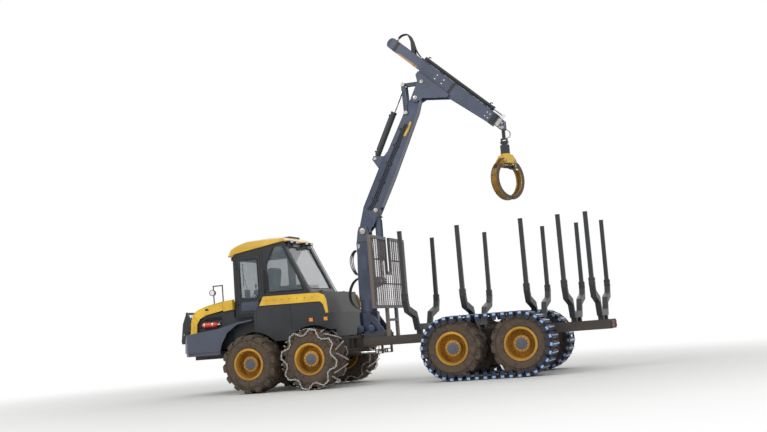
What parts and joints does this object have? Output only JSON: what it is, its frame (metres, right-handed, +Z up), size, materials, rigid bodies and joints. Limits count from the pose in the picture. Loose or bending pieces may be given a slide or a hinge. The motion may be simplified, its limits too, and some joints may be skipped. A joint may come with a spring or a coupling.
{
  "type": "forestry forwarder",
  "caption": "Wheeled forestry forwarder with an articulated frame, a cab, tracked rear bogies, a staked load bed and a slewing telescopic crane with a grapple.",
  "frame": {"origin": "on the ground under the middle of the machine's bounding box, near the articulation joint", "axes": "+X to the rear along the load bed, -X to the front, +Y to the machine's right side, +Z up"},
  "size_m": [10.14, 3.03, 8.0109],
  "materials": {
    "crane_paint": "semi-gloss",
    "dark_paint": "semi-gloss",
    "black_paint": "satin",
    "yellow_paint": "gloss",
    "rim_paint": "satin",
    "gate_paint": "satin",
    "track_paint": "worn",
    "tyre": "muddy",
    "bare_steel": "worn",
    "chrome": "polished",
    "engine": "rough",
    "trim_plastic": "matte",
    "glass": "clear"
  },
  "bodies": {
    "rear_unit": {"rear_frame": "dark_paint", "rear_bogies": "dark_paint", "rear_rims": "rim_paint", "rear_tyres": "tyre", "track_left": "track_paint", "track_right": "track_paint", "bunks": "dark_paint", "stakes": "black_paint", "gate": "gate_paint", "crane_base": "crane_paint"},
    "front_unit": {"front_frame": "dark_paint", "front_bogies": "dark_paint", "front_skirt": "crane_paint", "front_guard": "dark_paint", "engine": "engine", "engine_bay": "black_paint", "cab_frame": "dark_paint", "cab_roof": "yellow_paint", "cab_glass": "glass", "cab_inside": "trim_plastic", "deck": "black_paint", "yellow_trim": "yellow_paint", "lamps": "trim_plastic"},
    "hood": {"hood": "yellow_paint", "hood_fittings": "black_paint"},
    "door": {"cab_door": "crane_paint", "door_glass": "glass"},
    "wheel_front_left": {"rim_front_left": "rim_paint", "tyre_front_left": "tyre"},
    "wheel_front_right": {"rim_front_right": "rim_paint", "tyre_front_right": "tyre"},
    "wheel_mid_left": {"rim_mid_left": "rim_paint", "tyre_mid_left": "tyre", "chain_left": "bare_steel"},
    "wheel_mid_right": {"rim_mid_right": "rim_paint", "tyre_mid_right": "tyre", "chain_right": "bare_steel"},
    "steer_barrel_left": {"steer_barrel_left": "black_paint"},
    "steer_barrel_right": {"steer_barrel_right": "black_paint"},
    "steer_rod_left": {"steer_rod_left": "chrome"},
    "steer_rod_right": {"steer_rod_right": "chrome"},
    "column": {"column": "crane_paint"},
    "main_boom": {"main_boom": "crane_paint"},
    "lift_barrel": {"lift_barrel": "crane_paint"},
    "lift_rod": {"lift_rod": "chrome"},
    "jib_barrel": {"jib_barrel": "black_paint"},
    "jib_rod": {"jib_rod": "chrome"},
    "rocker": {"rocker": "crane_paint"},
    "jib_link": {"jib_link": "crane_paint"},
    "jib": {"jib": "crane_paint", "ext_barrel": "black_paint"},
    "telescope": {"telescope": "crane_paint", "ext_rod": "chrome"},
    "tip_link": {"tip_link": "black_paint"},
    "rotator": {"rotator": "black_paint"},
    "grapple": {"grapple_head": "yellow_paint"},
    "claw_a": {"claw_a": "yellow_paint"},
    "claw_b": {"claw_b": "yellow_paint"},
    "grapple_barrel": {"grapple_barrel": "black_paint"},
    "grapple_rod": {"grapple_rod": "chrome"}
  },
  "joints": [
    {"name": "steer", "type": "hinge", "parent": "rear_unit", "child": "front_unit", "pos_m": [-0.8, 0, 0.93], "axis": [0, 0, 1], "range_deg": [-44, 44]},
    {"name": "steer_cylinder_left", "type": "hinge", "parent": "front_unit", "child": "steer_barrel_left", "pos_m": [-1.3, -0.34, 0.73], "axis": [0, 0, 1], "range_deg": [-22.5, 22.5]},
    {"name": "steer_rod_left", "type": "slide", "parent": "steer_barrel_left", "child": "steer_rod_left", "axis": [1, 0, 0], "range_m": [-0.26, 0.26]},
    {"name": "steer_cylinder_right", "type": "hinge", "parent": "front_unit", "child": "steer_barrel_right", "pos_m": [-1.3, 0.34, 0.73], "axis": [0, 0, 1], "range_deg": [-22.5, 22.5]},
    {"name": "steer_rod_right", "type": "slide", "parent": "steer_barrel_right", "child": "steer_rod_right", "axis": [1, 0, 0], "range_m": [-0.26, 0.26]},
    {"name": "wheel_front_left", "type": "hinge", "parent": "front_unit", "child": "wheel_front_left", "pos_m": [-3.03, -1.125, 0.67], "axis": [0, -1, 0], "continuous": true},
    {"name": "wheel_mid_left", "type": "hinge", "parent": "front_unit", "child": "wheel_mid_left", "pos_m": [-1.53, -1.125, 0.692], "axis": [0, -1, 0], "continuous": true},
    {"name": "wheel_front_right", "type": "hinge", "parent": "front_unit", "child": "wheel_front_right", "pos_m": [-3.03, 1.125, 0.67], "axis": [0, -1, 0], "continuous": true},
    {"name": "wheel_mid_right", "type": "hinge", "parent": "front_unit", "child": "wheel_mid_right", "pos_m": [-1.53, 1.125, 0.692], "axis": [0, -1, 0], "continuous": true},
    {"name": "cab_door", "type": "hinge", "parent": "front_unit", "child": "door", "pos_m": [-3.477, -0.872, 2.5], "axis": [0, 0, -1], "range_deg": [0, 80]},
    {"name": "hood", "type": "hinge", "parent": "front_unit", "child": "hood", "pos_m": [-3.815, 0, 2.135], "axis": [0, 1, 0], "range_deg": [0, 45]},
    {"name": "slew", "type": "hinge", "parent": "rear_unit", "child": "column", "pos_m": [-0.53, 0, 1.64], "axis": [0, 0, -1], "range_deg": [-190, 190]},
    {"name": "lift", "type": "hinge", "parent": "column", "child": "main_boom", "pos_m": [-0.49, 0, 3.54], "axis": [0, -1, 0], "range_deg": [-35, 15]},
    {"name": "lift_cylinder", "type": "hinge", "parent": "main_boom", "child": "lift_barrel", "pos_m": [-0.14, 0, 4], "axis": [0, -1, 0], "range_deg": [-11.43, 26.67]},
    {"name": "lift_rod", "type": "slide", "parent": "lift_barrel", "child": "lift_rod", "axis": [0, 0, -1], "range_m": [-0.251, 0.108]},
    {"name": "jib", "type": "hinge", "parent": "main_boom", "child": "jib", "pos_m": [1.05686, 0, 6.51149], "axis": [0, 1, 0], "range_deg": [-60, 42]},
    {"name": "rocker", "type": "hinge", "parent": "main_boom", "child": "rocker", "pos_m": [0.79233, 0, 6.19824], "axis": [0, 1, 0], "range_deg": [-33.16, 23.21]},
    {"name": "jib_cylinder", "type": "hinge", "parent": "main_boom", "child": "jib_barrel", "pos_m": [-0.06722, 0, 5.21843], "axis": [0, 1, 0], "range_deg": [-10.17, 7.12]},
    {"name": "jib_rod", "type": "slide", "parent": "jib_barrel", "child": "jib_rod", "axis": [0.4521, 0, 0.8919], "range_m": [-0.211, 0.148]},
    {"name": "jib_link", "type": "hinge", "parent": "jib", "child": "jib_link", "pos_m": [1.24156, 0, 6.86629], "axis": [0, 1, 0], "range_deg": [-27.7, 39.58]},
    {"name": "telescope", "type": "slide", "parent": "jib", "child": "telescope", "axis": [-0.7314, 0, 0.682], "range_m": [-1.7, 0]},
    {"name": "tip_swing", "type": "hinge", "parent": "telescope", "child": "tip_link", "pos_m": [3.02187, 0, 5.55418], "axis": [0, -1, 0], "range_deg": [-70, 80]},
    {"name": "cross_swing", "type": "hinge", "parent": "tip_link", "child": "rotator", "pos_m": [3.02187, 0, 5.22418], "axis": [-1, 0, 0], "range_deg": [-30, 30]},
    {"name": "rotator", "type": "hinge", "parent": "rotator", "child": "grapple", "pos_m": [3.02187, 0, 4.95418], "axis": [0, 0, 1], "continuous": true},
    {"name": "claw_a", "type": "hinge", "parent": "grapple", "child": "claw_a", "pos_m": [3.09687, 0.1299, 4.78418], "axis": [0.866, -0.5, 0], "range_deg": [0, 55]},
    {"name": "claw_b", "type": "hinge", "parent": "grapple", "child": "claw_b", "pos_m": [2.94687, -0.1299, 4.78418], "axis": [-0.866, 0.5, 0], "range_deg": [0, 55]},
    {"name": "grapple_cylinder", "type": "hinge", "parent": "claw_a", "child": "grapple_barrel", "pos_m": [3.11687, 0.16454, 4.66418], "axis": [0.866, -0.5, 0], "range_deg": [-55.5, 0.5]},
    {"name": "grapple_rod", "type": "slide", "parent": "grapple_barrel", "child": "grapple_rod", "axis": [-0.5, -0.866, 0], "range_m": [-0.002, 0.175]}
  ],
  "couplings": [
    {"joint": "steer_cylinder_left", "follows": "steer", "ratio": -0.5},
    {"joint": "steer_rod_left", "follows": "steer", "m_per_rad": -0.3349},
    {"joint": "steer_cylinder_right", "follows": "steer", "ratio": -0.5},
    {"joint": "steer_rod_right", "follows": "steer", "m_per_rad": 0.3349},
    {"joint": "lift_cylinder", "follows": "lift", "ratio": -0.747},
    {"joint": "lift_rod", "follows": "lift", "m_per_rad": 0.4022},
    {"joint": "rocker", "follows": "jib", "ratio": 0.5419},
    {"joint": "jib_cylinder", "follows": "jib", "ratio": 0.1662},
    {"joint": "jib_rod", "follows": "jib", "m_per_rad": 0.1971},
    {"joint": "jib_link", "follows": "jib", "ratio": -0.6467},
    {"joint": "claw_b", "follows": "claw_a", "ratio": 1},
    {"joint": "grapple_cylinder", "follows": "claw_a", "ratio": -1},
    {"joint": "grapple_rod", "follows": "claw_a", "m_per_rad": 0.18}
  ]
}
